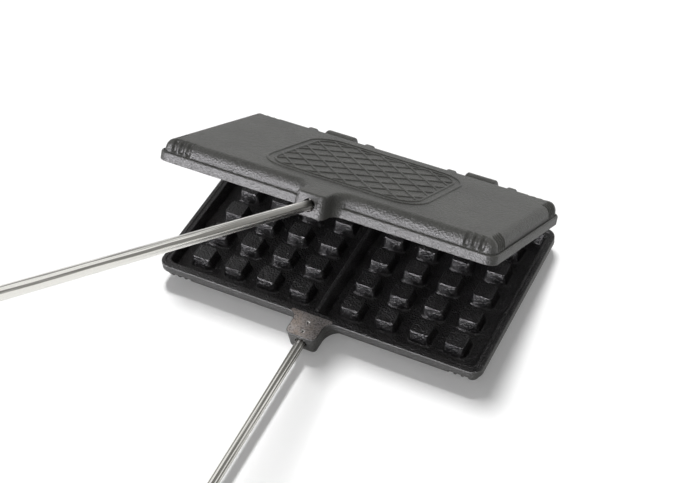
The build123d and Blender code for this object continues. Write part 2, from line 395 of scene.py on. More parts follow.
def make_part(name, points, faces, *finishes, slots=None):
    """An object in a half's millimetres, with a material slot number for each face if slots is given."""
    mesh = bpy.data.meshes.new(name)
    mesh.from_pydata(points, [], faces)
    for finish in finishes:
        mesh.materials.append(finish)
    if slots:
        mesh.polygons.foreach_set("material_index", slots)
    turn_outwards(mesh)
    return new_object(name, mesh)


def turn_outwards(mesh):
    sheet = bmesh.new()
    sheet.from_mesh(mesh)
    bmesh.ops.recalc_face_normals(sheet, faces=sheet.faces)
    sheet.to_mesh(mesh)
    sheet.free()


def stack(rings):
    """Points and faces of a closed tube through rings of as many points each, capped at both ends."""
    size = len(rings[0])
    points = [point for ring in rings for point in ring]
    faces = []
    for row in range(len(rings) - 1):
        for i in range(size):
            j = (i + 1) % size
            faces.append((row * size + i, row * size + j, (row + 1) * size + j, (row + 1) * size + i))
    faces.append(tuple(range(size)))
    faces.append(tuple(range(len(points) - size, len(points))))
    return points, faces


print("a stack of two triangles has", len(stack([[(0, 0, 0)] * 3] * 2)[1]), "faces")

# %% [markdown]
# Modifiers may then work on a mesh, such as a bevel or a boolean. They could stay live, but the pieces are
# joined and moved later. So baking turns the result into a plain mesh again, and carving does so after each
# cut.

# %% Baking and carving
def bake(part):
    """Turns an object and its modifiers into a plain mesh."""
    evaluated = part.evaluated_get(bpy.context.evaluated_depsgraph_get())
    mesh = bpy.data.meshes.new_from_object(evaluated)
    part.modifiers.clear()
    part.data = mesh


def carve(part, *cutters):
    """Cuts shapes out of a part. The cutters are used up."""
    for cutter in cutters:
        cut = part.modifiers.new("cut", "BOOLEAN")
        cut.object = cutter
        cut.operation = "DIFFERENCE"
        cut.solver = "EXACT"
        bake(part)
        bpy.data.objects.remove(cutter)


print("carving bakes each cut")

# %% [markdown]
# A finished piece is one or more parts joined, taken to its place by the half's matrix, and shaded smooth
# except over sharp edges. Weighted normals keep the large flat faces flat right up to their rounded edges.
# Last, the piece rides on its body and stands for the nodes that it replaces.

# %% Settling a piece into the frame
smooth_angle = math.radians(38)


def settle(name, parts, place, body, *nodes):
    """Joins parts into one piece in the frame, which rides on a body and replaces nodes."""
    sheet = bmesh.new()
    for part in parts:
        sheet.from_mesh(part.data)
    mesh = bpy.data.meshes.new(name)
    sheet.to_mesh(mesh)
    sheet.free()
    for finish in parts[0].data.materials:
        mesh.materials.append(finish)
    for part in parts:
        bpy.data.objects.remove(part)
    mesh.transform(place)
    mesh.shade_smooth()
    mesh.set_sharp_from_angle(angle=smooth_angle)
    piece = new_object(name, mesh)
    weigh = piece.modifiers.new("flat faces first", "WEIGHTED_NORMAL")
    weigh.keep_sharp = True
    bake(piece)
    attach(piece, body)
    if nodes:
        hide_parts(*nodes)
    print(name, len(piece.data.polygons), "faces")


# %% [markdown]
# The casting's outline is a rounded rectangle with the rod's boss blended into its front. It is walked once
# round, and each step keeps where it is and which way is out, so that any smaller outline is the same walk
# moved in. The inner face has no boss: there each step of the boss has a partner on the plate's straight
# front.

# %% A step of the outline
corner_round = 7.0
rim_width = 5.2
cavity_corner = 4.6
tightest_corner = 0.9


class Step:
    """A point of the walk and its outward direction, and the same for the plate without its boss."""

    def __init__(self, place, out):
        self.place = self.plate_place = Vector(place)
        self.out = self.plate_out = Vector(out)
        self.boss = 0.0

    def on_plate(self, inset, corner, height):
        """The step on the plate's outline moved in, with corners of some radius."""
        core = self.plate_place - self.plate_out * corner_round
        x = core.x * (plate_width / 2 - inset - corner) / (plate_width / 2 - corner_round)
        y = core.y * (plate_depth / 2 - inset - corner) / (plate_depth / 2 - corner_round)
        return (x + self.plate_out.x * corner, y + self.plate_out.y * corner, height)

    def outer(self, inset, height):
        corner = max(corner_round - inset, tightest_corner)
        if not self.boss:
            return self.on_plate(inset, corner, height)
        shrunk = (plate_width / 2 - inset - corner) / (plate_width / 2 - corner_round)
        return (self.place.x * shrunk - self.out.x * inset, self.place.y - self.out.y * inset, height)

    def inner(self, inset, height):
        """The step on an outline of the inside, whose corners are rounder."""
        return self.on_plate(inset, cavity_corner - max(0.0, inset - rim_width), height)


corner_step = Step((plate_width / 2 - corner_round, plate_depth / 2), (0, 1))
print("a step at the cavity's edge:", [round(v, 1) for v in corner_step.inner(rim_width, 0.0)])

# %% [markdown]
# A curve could draw the outline too, but its points wouldn't know which way is out. So the walk is made of
# straights and arcs of steps. They are short where the flutes are, and long elsewhere on the straights.

# %% Straights and arcs
fine_step = 0.32
coarse_step = 4.0
plate_steps = 20


def spaced(start, end, steps):
    """Evenly spaced values from start to end, with both of them."""
    return [start + (end - start) * i / steps for i in range(steps + 1)]


def straight(start, end, out, fine_start=0.0, fine_end=0.0):
    """Steps along a straight, fine over a length at either end."""
    start, end = Vector(start), Vector(end)
    length = (end - start).length
    steps = []
    travelled = 0.0
    while travelled < length - fine_step / 2:
        steps.append(Step(start + (end - start) * travelled / length, out))
        fine = travelled < fine_start or travelled > length - fine_end - coarse_step
        travelled += fine_step if fine else coarse_step
    return steps


def arc(centre, radius, start, end, count, hollow=False):
    """Steps along an arc between two angles in degrees. A hollow arc faces its own centre."""
    steps = []
    for angle in map(math.radians, spaced(start, end, count)[:-1]):
        ray = Vector((math.cos(angle), math.sin(angle)))
        steps.append(Step(Vector(centre) + ray * radius, -ray if hollow else ray))
    return steps


print(len(arc((0, 0), corner_round, 0, 90, plate_steps)), "steps round a corner")

# %% [markdown]
# The boss is a block with rounded corners at its nose. At its root two hollow arcs run out into the plate's
# front, and along them the boss's share of the section fades.

# %% Round the boss
boss_half = 10.4
boss_length = 16.5
boss_blend = 6.0
boss_round = 4.0
boss_inner = 8.0
boss_steps = 12
boss_front = plate_depth / 2 + boss_length


def walk_boss():
    """The steps round the boss, from left to right, with their partners on the plate's front."""
    back = plate_depth / 2
    root = boss_half + boss_blend
    nose = boss_half - boss_round
    neck = back + boss_blend
    left = arc((-root, -neck), boss_blend, 90, 0, boss_steps, hollow=True)
    middle = straight((-boss_half, -neck), (-boss_half, boss_round - boss_front), (-1, 0))
    middle += arc((-nose, boss_round - boss_front), boss_round, 180, 270, boss_steps)
    middle += straight((-nose, -boss_front), (nose, -boss_front), (0, -1))
    middle += arc((nose, boss_round - boss_front), boss_round, 270, 360, boss_steps)
    middle += straight((boss_half, boss_round - boss_front), (boss_half, -neck), (1, 0))
    right = arc((root, -neck), boss_blend, 180, 90, boss_steps, hollow=True)
    for i, step in enumerate(middle):
        step.plate_place = Vector((boss_inner * (2 * i / len(middle) - 1), -back))
        step.boss = 1.0
    for step in left + right:
        share = (root - abs(step.place.x)) / boss_blend
        partner = root + (boss_inner - root) * share
        step.plate_place = Vector((math.copysign(partner, step.place.x), -back))
        step.boss = share
    for step in left + middle + right:
        step.plate_out = Vector((0, -1))
    return left + middle + right


print(len(walk_boss()), "steps round the boss")

# %% [markdown]
# The whole walk starts at the right, goes along the back and the left, and passes the boss on the front.

# %% The outline of a half
flute_zone = 15.5


def walk_outline():
    across, back = plate_width / 2, plate_depth / 2
    cx, cy = across - corner_round, back - corner_round
    root = boss_half + boss_blend
    return (
        straight((across, -cy), (across, cy), (1, 0), flute_zone, flute_zone)
        + arc((cx, cy), corner_round, 0, 90, plate_steps)
        + straight((cx, back), (-cx, back), (0, 1), flute_zone, flute_zone)
        + arc((-cx, cy), corner_round, 90, 180, plate_steps)
        + straight((-across, cy), (-across, -cy), (-1, 0), flute_zone, flute_zone)
        + arc((-cx, -cy), corner_round, 180, 270, plate_steps)
        + straight((-cx, -back), (-root, -back), (0, -1), flute_zone, 0)
        + walk_boss()
        + straight((root, -back), (cx, -back), (0, -1), 0, flute_zone)
        + arc((cx, -cy), corner_round, 270, 360, plate_steps)
    )


outline = walk_outline()
print(len(outline), "steps round the outline")

# %% [markdown]
# The outside is a stack of rings, from the dome's flat down over the soft shoulder and the drafted side,
# into the crease, over the rounded flange and down to the inner face. The boss has no flange: its wall runs
# straight down from a tighter shoulder. Both sections have as many rings, so one can turn into the other
# along the blend. Sand castings have no sharp edges, so nearly every corner of a section is rounded.

# %% The section of the outside
rim_height = 6.0
plate_foot = 1.9
plate_shoulder = 6.2
plate_draft = math.radians(9)
boss_foot = 0.0
boss_shoulder = 1.4
boss_draft = math.radians(6)
crease_height = 5.1
crease = [(0.0, 0.9), (-0.06, 0.3), (-0.3, 0.0), (-0.55, 0.25)]
wall_heights = (7.6, 7.0)
flange_heights = (3.4, 1.6)
flange_round = 1.1
flange_steps = 5
lip_round = 0.5
lip_steps = 4
flat_margin = 0.4
shoulder_rings = 12


def shoulder_inset(radius, foot, draft, rise):
    """How far in the flat starts, for a shoulder of some radius on a wall that leans in from its foot."""
    return foot + rise * math.tan(draft) + radius * math.tan(math.pi / 4 - draft / 2)


def shoulder_section(radius, foot, draft, start):
    """The (inset, height) pairs of the flat's edge, the shoulder and the wall, whose foot is at a height."""
    centre = shoulder_inset(radius, foot, draft, dome_height - start)
    section = [(centre + flat_margin, dome_height)]
    for angle in spaced(math.pi / 2, draft, shoulder_rings):
        section.append((centre - radius * math.cos(angle), dome_height - radius + radius * math.sin(angle)))
    return section


def plate_section():
    """The plate's section: shoulder and wall, the crease, and the flange down to its straight edge."""
    section = shoulder_section(plate_shoulder, plate_foot, plate_draft, rim_height)
    for height in wall_heights:
        section.append((plate_foot + (height - rim_height) * math.tan(plate_draft), height))
    section += [(plate_foot + inset, crease_height + rise) for inset, rise in crease]
    for angle in spaced(math.pi / 2, 0.0, flange_steps):
        height = rim_height + flange_round * (math.sin(angle) - 1)
        section.append((flange_round * (1 - math.cos(angle)), height))
    return section + [(0.0, height) for height in flange_heights]


def boss_section(count):
    """The boss's section, with so many rings in all, evenly down its wall below the shoulder."""
    section = shoulder_section(boss_shoulder, boss_foot, boss_draft, 0.0)
    rest = count - len(section)
    for height in spaced(wall_heights[0], flange_heights[-1], rest - 1):
        section.append((boss_foot + height * math.tan(boss_draft), height))
    return section


plate_rings = plate_section()
boss_rings = boss_section(len(plate_rings))
for angle in spaced(0.0, math.pi / 2, lip_steps):
    lip = (lip_round * (1 - math.cos(angle)), lip_round * (1 - math.sin(angle)))
    plate_rings.append(lip)
    boss_rings.append(lip)
print(len(plate_rings), "rings outside")

# %% [markdown]
# Flutes climb over the shoulder beside each corner. Each is a shallow round groove from the dome's flat
# down to the crease, so it is pressed into the section where it passes: a step of the walk knows how deep
# it lies in a groove, and the groove fades out at both of its ends.

# %% The flutes
flute_start = 10.0
flute_depth = 1.5
flute_sharpness = 1.2
front_pitch, side_pitch = 4.8, 3.2
front_groove, side_groove = 2.1, 1.45
front_count, side_count = 3, 4
front_flutes = [plate_width / 2 - flute_start - i * front_pitch for i in range(front_count)]
side_flutes = [plate_depth / 2 - flute_start - i * side_pitch for i in range(side_count)]
flute_ends = (1, shoulder_rings + 4)
fade_rings = (4, 2)
straight_out = 0.999


def groove(step):
    """How deep a step lies in a flute, from 0 to 1."""
    on_front = abs(step.plate_out.y) > straight_out
    on_corner = max(abs(step.plate_out.x), abs(step.plate_out.y)) < straight_out
    beside = abs(step.plate_place.x if on_front else step.plate_place.y)
    centres, half_width = (front_flutes, front_groove) if on_front else (side_flutes, side_groove)
    nearest = min(abs(beside - centre) for centre in centres)
    if step.boss or on_corner or nearest > half_width:
        return 0.0
    return math.cos(math.pi / 2 * nearest / half_width) ** flute_sharpness


def fluted_section():
    """The plate's section inside the middle of a flute."""
    section = []
    first, last = flute_ends
    for i, (inset, height) in enumerate(plate_rings):
        if not first < i < last:
            section.append((inset, height))
            continue
        before, after = Vector(plate_rings[i - 1]), Vector(plate_rings[i + 1])
        along = (after - before).normalized()
        press = flute_depth * min(1.0, (i - first) / fade_rings[0], (last - i) / fade_rings[1])
        section.append((inset - along.y * press, height + along.x * press))
    return section


print("flutes at", front_flutes, "along the front and", side_flutes, "along the sides")

# %% [markdown]
# Inside, the rings go from the raised lip down its little step to the land, over the edge into the cavity,
# down the drafted wall and through a soft fillet onto the floor. The floor itself is one large face.

# %% The section of the inside
lip_width = 2.6
lip_height = 0.6
cavity_depth = 9.2
cavity_draft = math.radians(12)
floor_round = 1.6
floor_steps = 6
edge_round = 0.55
edge_steps = 4
wall_depths = (3.5, 6.5)
lip_back = 1.0
lip_step = [(-0.45, 0.0), (-0.2, 0.04), (-0.04, 0.18), (0.04, 0.42), (0.2, 0.56), (0.45, lip_height)]


def inner_section():
    """The (inset, height) pairs of the inside, from the lip to the floor."""
    section = [(lip_width + inset, height) for inset, height in lip_step]
    slope = math.tan(cavity_draft)
    edge = rim_width + slope * lip_height
    section += [(edge - lip_back, lip_height), (edge - edge_round, lip_height)]
    for angle in spaced(0.0, math.pi / 2 - cavity_draft, edge_steps)[1:]:
        inset = edge - edge_round + edge_round * math.sin(angle)
        section.append((inset, lip_height + edge_round * (1 - math.cos(angle))))
    section += [(rim_width + slope * depth, depth) for depth in wall_depths]
    centre = rim_width + slope * (cavity_depth - floor_round) + floor_round / math.cos(cavity_draft)
    for angle in spaced(cavity_draft, math.pi / 2, floor_steps):
        rise = cavity_depth - floor_round + floor_round * math.sin(angle)
        section.append((centre - floor_round * math.cos(angle), rise))
    return section


print(len(inner_section()), "rings inside")

# %% [markdown]
# The rod leaves the boss at a slight tilt, a little more on the upper half, so that the grips part. The
# rod, its socket and the grip are all turned about that one line.

# %% The line of the rod
rod_radius = 3.175
rod_height = 6.8
rod_tilt = {"lower": math.radians(2.4), "upper": math.radians(4.2)}


def turned(name, profile, sides=48):
    """A turned shape round its own z axis through (along, radius) pairs, closed at both ends."""
    circle = spaced(0.0, 2 * math.pi, sides)[:-1]
    rings = [[(r * math.cos(a), r * math.sin(a), along) for a in circle] for along, r in profile]
    return make_part(name, *stack(rings))


def rod_frame(half):
    """The matrix, within a half, of the point where its rod leaves the boss, with z along the rod."""
    tilt = rod_tilt[half]
    along = Vector((0, -math.cos(tilt), math.sin(tilt)))
    across = Vector((1, 0, 0))
    turn = matrix_of(across, along.cross(across), along).to_4x4()
    return Matrix.Translation((0, -boss_front, rod_height)) @ turn


for half, tilt in rod_tilt.items():
    print(half, "rod leans", round(math.degrees(tilt), 1), "degrees")

# %% [markdown]
# Both sections together make one closed shell. The outer skin, the seasoned inside and the boss's dry inner
# face are three slots of it. Then the rod's socket, its wide mouth and the holes of the two spring pins are
# cut out of the boss with turned cutters.

# %% The casting's shell
socket_depth = 17.0
socket_steps = [(-6.0, 0.0), (-5.2, 0.5)]
mouth_radius = 4.1
mouth_steps = [(-3.5, -0.5), (-0.6, -0.1), (0.0, 0.3), (4.0, 0.6)]
pin_setbacks = [plate_depth / 2 + spot for spot in (4.7, 11.7)]
pin_hole = 1.62
pin_hole_ends = (-2.0, 10.0)
pin_hole_sides = 24
dry_share = 0.3
OUTSIDE, INSIDE, DRY = 0, 1, 2
iron_finishes = (cast_skin, seasoned_iron, dry_iron)


def shell(half):
    """The shell of one casting, without its hinge and its studs."""
    rings = []
    for wide, tight, pressed in zip(plate_rings, boss_rings, fluted_section()):
        ring = []
        for step in outline:
            other, share = (tight, step.boss) if step.boss else (pressed, groove(step))
            ring.append(step.outer(*(Vector(wide) * (1 - share) + Vector(other) * share)))
        rings.append(ring)
    rim = len(rings) - 1
    rings += [[step.inner(*pair) for step in outline] for pair in inner_section()]
    points, faces = stack(rings)
    slots = []
    for row in range(len(rings) - 1):
        for step in outline:
            dry = row == rim and step.boss > dry_share
            slots.append(OUTSIDE if row < rim else DRY if dry else INSIDE)
    slots += [OUTSIDE, INSIDE]
    part = make_part(f"{half}_shell", points, faces, *iron_finishes, slots=slots)
    mouth = [(-socket_depth, rod_radius)]
    mouth += [(along, rod_radius + growth) for along, growth in socket_steps]
    mouth += [(along, mouth_radius + growth) for along, growth in mouth_steps]
    socket = turned("socket", mouth)
    socket.data.transform(rod_frame(half))
    holes = []
    for setback in pin_setbacks:
        hole = turned("hole", [(end, pin_hole) for end in pin_hole_ends], pin_hole_sides)
        hole.data.transform(Matrix.Translation((0, -setback, 0)))
        holes.append(hole)
    carve(part, socket, *holes)
    return part


shells = {half: shell(half) for half in places}
for half, part in shells.items():
    print(half, "shell:", len(part.data.polygons), "faces")

# %% [markdown]
# The hinge has one wide lug on the lower half between two narrow ears on the upper one, at each side. From
# the side, each is a circle about the hinge with tangents running into the plate's back wall. That is the
# convex hull of a circle and a small rectangle, so we first need a hull.

# %% The hull of some points
def hull(points):
    """The convex hull of points in a plane, walked round once."""
    chains = []
    for ordered in (sorted(points), sorted(points, reverse=True)):
        chain = []
        for point in ordered:
            while len(chain) > 1:
                (ax, ay), (bx, by) = chain[-2:]
                if (bx - ax) * (point[1] - ay) - (by - ay) * (point[0] - ax) > 1e-9:
                    break
                chain.pop()
            chain.append(point)
        chains += chain[:-1]
    return chains


square = [(0, 0), (2, 0), (2, 2), (0, 2), (1, 1)]
print("the hull of a square and its middle has", len(hull(square)), "points")

# %% [markdown]
# Each lug and ear is that hull, given a width. A bevel softens its edges, and the pin's hole goes through
# it.

# %% Lugs and ears
hinge_out = plate_depth / 2 + hinge_reach
pin_radius = 2.6
lug_centres = (-51.2, 51.2)
ear_centres = (-72.5, -29.9, 29.9, 72.5)
lug_width, lug_radius, lug_clearance = 20.8, 8.4, 0.08
ear_width, ear_radius, ear_clearance = 6.2, 6.6, 0.02
arm_places = (59.25, 60.75)
arm_heights = (5.2, 9.0)
knuckle_sides = 64
knuckle_soft = 1.3
soft_steps = 4
soft_angle = math.radians(50)


def knuckle(centre, width, radius, hinge_height, clearance):
    """A lug or an ear of some width, round about the hinge."""
    circle = spaced(0.0, 2 * math.pi, knuckle_sides)[:-1]
    section = [(hinge_out + radius * math.cos(a), hinge_height + radius * math.sin(a)) for a in circle]
    section += [(y, z) for y in arm_places for z in arm_heights]
    section = hull(section)
    rings = [[(centre + side * width / 2, y, z) for y, z in section] for side in (-1, 1)]
    part = make_part("knuckle", *stack(rings), *iron_finishes)
    soft = part.modifiers.new("soft edges", "BEVEL")
    soft.width = knuckle_soft
    soft.segments = soft_steps
    soft.limit_method = "ANGLE"
    soft.angle_limit = soft_angle
    bake(part)
    bore = turned("bore", [(-width, pin_radius + clearance), (width, pin_radius + clearance)])
    across = Matrix.Translation((centre, hinge_out, hinge_height)) @ Matrix.Rotation(math.pi / 2, 4, "Y")
    bore.data.transform(across)
    carve(part, bore)
    return part


knuckles = {
    "lower": [knuckle(x, lug_width, lug_radius, -hinge_rise, lug_clearance) for x in lug_centres],
    "upper": [knuckle(x, ear_width, ear_radius, ear_rise, ear_clearance) for x in ear_centres],
}
print(len(knuckles["lower"]), "lugs and", len(knuckles["upper"]), "ears")

for half, part in shells.items():
    settle(f"{half}_casting", [part, *knuckles[half]], places[half], half, f"{half}_plate")

# %% [markdown]
# The waffle studs repeat on a grid, so Geometry Nodes places them. One stud is lofted through rounded
# rectangles: a soft edge round its top, drafted sides, and a flared foot that runs out level with the
# floor. The tree puts a copy on every point of two grids, one each side of the ridge, and makes the copies
# real.

# %% One stud
stud_width = 12.3
stud_depth = 11.4
stud_corner = 1.6
stud_recess = 0.8
stud_draft = math.radians(10)
stud_round = 0.7
stud_middle = 3.6
foot_round = 1.3
foot_sink = 0.4
stud_steps = (4, 5)
corner_steps = 7


def rounded_rectangle(width, depth, corner, steps):
    """The (x, y) points round a rounded rectangle, with so many to a corner."""
    ring = []
    for turn, (sx, sy) in enumerate(((1, 1), (-1, 1), (-1, -1), (1, -1))):
        for angle in spaced(math.pi / 2 * turn, math.pi / 2 * (turn + 1), steps - 1):
            x = sx * (width / 2 - corner) + corner * math.cos(angle)
            ring.append((x, sy * (depth / 2 - corner) + corner * math.sin(angle)))
    return ring


def flare(draft, soft, top_steps, foot_steps, *depths):
    """The (growth, height) pairs of a drafted wall, from its soft top edge to its flared foot."""
    section = []
    for angle in spaced(0.0, math.pi / 2 - draft, top_steps):
        growth = soft * (math.sin(angle) - math.tan(math.pi / 4 - draft / 2))
        section.append((growth, stud_recess + soft * (1 - math.cos(angle))))
    slope = math.tan(draft)
    section += [(slope * depth, stud_recess + depth) for depth in depths]
    centre = slope * (cavity_depth - stud_recess) + foot_round * math.tan(math.pi / 4 - draft / 2)
    for angle in spaced(math.pi - draft, math.pi / 2, foot_steps):
        height = cavity_depth - foot_round + foot_round * math.sin(angle)
        section.append((centre + foot_round * math.cos(angle), height))
    return section + [(centre, cavity_depth + foot_sink)]


def make_stud():
    rings = []
    for growth, height in flare(stud_draft, stud_round, *stud_steps, stud_middle):
        size = (stud_width + 2 * growth, stud_depth + 2 * growth, stud_corner + growth)
        rings.append([(x, y, height) for x, y in rounded_rectangle(*size, corner_steps)])
    return make_part("stud", *stack(rings), *iron_finishes)


print("a stud stands", round(cavity_depth - stud_recess, 1), "mm above the floor")

# %% [markdown]
# Two Geometry Nodes trees are needed, for the studs and for the ornament. Both take named sizes, end by
# making their copies real and giving them a finish, and are run once and baked.

# %% Building and running a tree
def new_tree(name, **inputs):
    """An empty Geometry Nodes tree with a geometry input, number inputs and a geometry output."""
    tree = bpy.data.node_groups.new(name, "GeometryNodeTree")
    tree.interface.new_socket("Geometry", in_out="INPUT", socket_type="NodeSocketGeometry")
    for label, kind in inputs.items():
        tree.interface.new_socket(label, in_out="INPUT", socket_type=f"NodeSocket{kind}")
    tree.interface.new_socket("Geometry", in_out="OUTPUT", socket_type="NodeSocketGeometry")
    return tree


def tree_math(tree, operation, first, second):
    return add_node(tree, "ShaderNodeMath", {0: first, 1: second}, operation=operation).outputs[0]


def close_tree(tree, geometry, finish):
    """Makes every copy real, dresses it and ends the tree."""
    real = add_node(tree, "GeometryNodeRealizeInstances", {"Geometry": geometry})
    dress = {"Geometry": real.outputs[0], "Material": finish}
    dressed = add_node(tree, "GeometryNodeSetMaterial", dress)
    add_node(tree, "NodeGroupOutput", {0: dressed.outputs[0]})
    return tree


def run_tree(part, tree, **values):
    """Runs a tree on a part once, with its inputs set by identifier, and bakes the result."""
    modifier = part.modifiers.new(tree.name, "NODES")
    modifier.node_group = tree
    for item in tree.interface.items_tree:
        if item.in_out == "INPUT" and item.name in values:
            modifier[item.identifier] = values[item.name]
    bake(part)


print("trees end in real, dressed geometry")

# %% [markdown]
# The stud tree's inputs are the grid's numbers, so the same tree serves both blocks of both halves. Its
# first input is the stud itself, which the modifier passes on from the object that carries it.

# %% The grid of studs
stud_grid = {"Columns": 4, "Rows": 5, "Pitch_X": 23.4, "Pitch_Y": 21.0, "Centre": 53.05}


def stud_tree():
    tree = new_tree("stud_grid", Columns="Int", Rows="Int", Pitch_X="Float", Pitch_Y="Float", Centre="Float")
    given = add_node(tree, "NodeGroupInput").outputs
    gaps = []
    for count, pitch in (("Columns", "Pitch_X"), ("Rows", "Pitch_Y")):
        less = tree_math(tree, "SUBTRACT", given[count], 1.0)
        gaps.append(tree_math(tree, "MULTIPLY", less, given[pitch]))
    sizes = {"Size X": gaps[0], "Size Y": gaps[1]}
    sizes |= {"Vertices X": given["Columns"], "Vertices Y": given["Rows"]}
    grid = add_node(tree, "GeometryNodeMeshGrid", sizes).outputs["Mesh"]
    both = add_node(tree, "GeometryNodeJoinGeometry")
    for side in (-1.0, 1.0):
        centre = tree_math(tree, "MULTIPLY", given["Centre"], side)
        shift = add_node(tree, "ShaderNodeCombineXYZ", {"X": centre})
        moves = {"Geometry": grid, "Translation": shift.outputs[0]}
        moved = add_node(tree, "GeometryNodeTransform", moves)
        tree.links.new(moved.outputs[0], both.inputs[0])
    copies = {"Points": both.outputs[0], "Instance": given["Geometry"]}
    placed = add_node(tree, "GeometryNodeInstanceOnPoints", copies)
    return close_tree(tree, placed.outputs[0], seasoned_iron)


studs_of_grid = stud_tree()
for half, place in places.items():
    block = make_stud()
    run_tree(block, studs_of_grid, **stud_grid)
    settle(f"{half}_studs", [block], place, half)

# %% [markdown]
# The ridge parts the two waffles. Its section has a soft top and the same flared foot as the studs. It runs
# from wall to wall: its ends are buried in the drafted walls, and stop just short of them at the very top.

# %% The ridge
ridge_width = 2.4
ridge_draft = math.radians(20)
ridge_round = 0.9
ridge_steps = (3, 4)
ridge_gap = 0.6
ridge_end = plate_depth / 2 - rim_width - ridge_gap
ridge_rows = 24

for half, place in places.items():
    wall = flare(ridge_draft, ridge_round, *ridge_steps)
    side = [(0.0, stud_recess)] + [(ridge_width / 2 + growth, height) for growth, height in wall]
    section = [(-width, height) for width, height in reversed(side)] + side[1:]
    rings = [[(x, y, z) for x, z in section] for y in spaced(-ridge_end, ridge_end, ridge_rows)]
    settle(f"{half}_ridge", [make_part("ridge", *stack(rings), seasoned_iron)], place, half)

# %% [markdown]
# On the upper half's back is a raised ornament: a double frame round a lattice of diamonds. Each line is a
# bead that stands out of the skin. First the lines are drawn as edges.

# %% The ornament's lines
panel_width = 108.0
panel_depth = 92.0
panel_corner = 20.0
panel_line = 1.8
panel_gap = 3.0
frame_steps = 13
lattice_pitch = 12.0
trace_reach = 100.0
trace_steps = 800
shortest_trace = 8


def frame_line(inset):
    """The points of one rounded frame, whose middle line is moved in from the panel's edge."""
    inset += panel_line / 2
    size = (panel_width - 2 * inset, panel_depth - 2 * inset, panel_corner - inset)
    return rounded_rectangle(*size, frame_steps)


def inside(x, y, inset):
    """Whether a point lies inside the rounded panel, moved in by an inset."""
    corner = panel_corner - inset
    dx = max(0.0, abs(x) - (panel_width / 2 - panel_corner))
    dy = max(0.0, abs(y) - (panel_depth / 2 - panel_corner))
    return math.hypot(dx, dy) < corner


def lattice_lines():
    """The lattice's lines as pairs of end points, clipped to the inner frame."""
    step = lattice_pitch * math.sqrt(2)
    bars = int((panel_width + panel_depth) / step)
    run = spaced(-trace_reach, trace_reach, trace_steps)
    edge = panel_line + panel_gap + panel_line / 2
    lines = []
    for lean in (-1, 1):
        for i in range(bars):
            start = (i - (bars - 1) / 2) * step
            held = [t for t in run if inside(start + lean * t, t, edge)]
            if len(held) > shortest_trace:
                lines.append([(start + lean * t, t) for t in (held[0], held[-1])])
    return lines


points, edges = [], []
for loop in (frame_line(0), frame_line(panel_line + panel_gap)):
    first = len(points)
    points += loop
    edges += [(first + i, first + (i + 1) % len(loop)) for i in range(len(loop))]
for line in lattice_lines():
    edges.append((len(points), len(points) + 1))
    points += line
print(len(lattice_lines()), "lattice lines")

# %% [markdown]
# The bead tree turns the edges into curves and sweeps a circle along them. The circle's middle lies below
# the dome's flat, so that the bead stands out by the relief's height.

# %% The ornament's beads
relief_height = 0.7
bead_radius = 1.0
bead_sides = 14


def bead_tree():
    tree = new_tree("beads", Radius="Float")
    given = add_node(tree, "NodeGroupInput").outputs
    lines = add_node(tree, "GeometryNodeMeshToCurve", {"Mesh": given["Geometry"]})
    circle = {"Resolution": bead_sides, "Radius": given["Radius"]}
    section = add_node(tree, "GeometryNodeCurvePrimitiveCircle", circle)
    sweep = {"Curve": lines.outputs[0], "Profile Curve": section.outputs[0], "Fill Caps": True}
    beads = add_node(tree, "GeometryNodeCurveToMesh", sweep)
    return close_tree(tree, beads.outputs[0], cast_skin)


bead_level = dome_height + relief_height - bead_radius
wire = bpy.data.meshes.new("ornament_lines")
wire.from_pydata([(x, y, bead_level) for x, y in points], edges, [])
ornament = new_object("ornament_lines", wire)
run_tree(ornament, bead_tree(), Radius=bead_radius)
settle("upper_ornament", [ornament], places["upper"], "upper")

# %% [markdown]
# Rods, ferrules, grips and hinge pins were all turned or drawn, so each is a profile spun round its own
# axis. The grain of wood and the marks of drawing follow that axis, and each axis leans another way. So
# every turned piece keeps its points as they were on the lathe in an attribute, and its material reads
# that.

# %% Turned pieces
end_steps = 5


def keep_lathe_points(part):
    """Stores each point's place on the lathe, in metres."""
    points = [coordinate * MM for vertex in part.data.vertices for coordinate in vertex.co]
    part.data.attributes.new("lathe", "FLOAT_VECTOR", "POINT").data.foreach_set("vector", points)


def turned_piece(name, profile, finish, place, body, *nodes, sides=64):
    part = turned(name, profile, sides)
    part.data.materials.append(finish)
    keep_lathe_points(part)
    settle(name, [part], place, body, *nodes)


def rounded_end(along, radius, soft, direction):
    """The profile of a soft-edged flat end: direction is 1 for a start and -1 for an end."""
    profile = []
    for angle in spaced(0.0, math.pi / 2, end_steps):
        back = direction * soft * (1 - math.sin(angle))
        profile.append((along + back, radius - soft * (1 - math.cos(angle))))
    return profile[::-1] if direction > 0 else profile


print("turned pieces keep their lathe points")

# %% The rods
rod_reach = 416.0
rod_soft = 0.5
rod_gap = 0.4
rod_rings = (0.0, 100.0, 200.0, 300.0, rod_reach)
grip_bore = 104.0
lathes = {half: places[half] @ rod_frame(half) for half in places}

for half, lathe in lathes.items():
    profile = rounded_end(rod_gap - socket_depth, rod_radius, rod_soft, 1)
    profile += [(reach, rod_radius) for reach in rod_rings]
    profile += rounded_end(rod_reach + grip_bore - rod_gap, rod_radius, rod_soft, -1)
    turned_piece(f"{half}_drawn_rod", profile, drawn_steel, lathe, half, f"{half}_rod")

# %% [markdown]
# The grip was turned from one block. Its neck sits in the ferrule's cup, then the belly swells to the
# middle of the hand and eases to the tail, which has a soft end.

